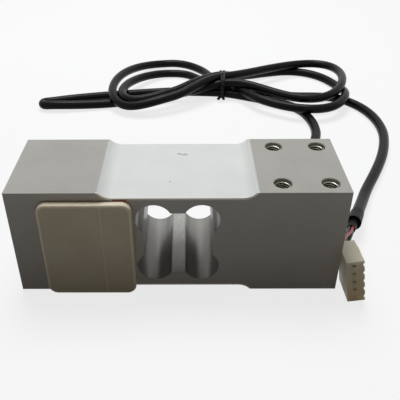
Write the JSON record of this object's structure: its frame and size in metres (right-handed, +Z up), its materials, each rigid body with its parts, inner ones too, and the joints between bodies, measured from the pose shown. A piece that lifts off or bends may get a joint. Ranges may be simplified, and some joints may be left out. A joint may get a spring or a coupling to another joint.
{
  "type": "single point load cell",
  "caption": "Rectangular aluminium load cell with a lobed window, sealed gauge recesses, covered side pocket, threaded inserts and a tied cable with a plug.",
  "frame": {"origin": "centre of the four mounting holes in the underside of the fixed end, on the face that bolts down", "axes": "+X along the beam towards the load end, +Y away from the covered side, +Z up"},
  "size_m": [0.2334, 0.2794, 0.05],
  "materials": {
    "machined_aluminium": "fine ground, satin",
    "insert_steel": "bright wire",
    "white_silicone": "smooth, soft sheen",
    "beige_plastic": "moulded satin",
    "bond": "smooth",
    "gauge_foil": "amber film",
    "copper": "bright",
    "red_flex": "brick red film",
    "board_green": "solder mask",
    "chip_black": "moulded",
    "black_jacket": "satin PVC",
    "black_rubber": "matt",
    "black_tie": "coated wire",
    "natural_nylon": "translucent off-white",
    "tinned_metal": "tin plate",
    "wire_red": "insulation",
    "wire_black": "insulation",
    "wire_green": "insulation",
    "wire_white": "insulation",
    "wire_shield": "insulation"
  },
  "bodies": {
    "root": {"beam_body": "machined_aluminium", "board_bed": "white_silicone", "board_wire_black": "wire_black", "board_wire_green": "wire_green", "board_wire_red": "wire_red", "board_wire_white": "wire_white", "bottom_sealant": "white_silicone", "cable_boot": "black_rubber", "cable_hank": "black_jacket", "cable_in_bore": "black_jacket", "cable_lead_in": "black_jacket", "cable_lead_out": "black_jacket", "core_liner": "black_rubber", "cover_adhesive": "bond", "crimp_terminal_1": "tinned_metal", "crimp_terminal_2": "tinned_metal", "crimp_terminal_3": "tinned_metal", "crimp_terminal_4": "tinned_metal", "crimp_terminal_5": "tinned_metal", "end_sleeve": "black_rubber", "fixed_insert_1": "insert_steel", "fixed_insert_2": "insert_steel", "fixed_insert_3": "insert_steel", "fixed_insert_4": "insert_steel", "flex_ribbon_bottom": "red_flex", "flex_ribbon_top": "red_flex", "gauge_bottom_left": "gauge_foil", "gauge_bottom_right": "gauge_foil", "gauge_top_left": "gauge_foil", "gauge_top_right": "gauge_foil", "hank_tie": "black_tie", "jumper_wires_bottom": "copper", "jumper_wires_top": "copper", "load_insert_1": "insert_steel", "load_insert_2": "insert_steel", "load_insert_3": "insert_steel", "load_insert_4": "insert_steel", "plug_housing": "natural_nylon", "side_cover": "beige_plastic", "terminal_strip_bottom": "copper", "terminal_strip_top": "copper", "top_sealant": "white_silicone", "trim_resistors": "chip_black", "trimming_board": "board_green", "wire_black": "wire_black", "wire_green": "wire_green", "wire_red": "wire_red", "wire_shield": "wire_shield", "wire_white": "wire_white"}
  },
  "joints": []
}
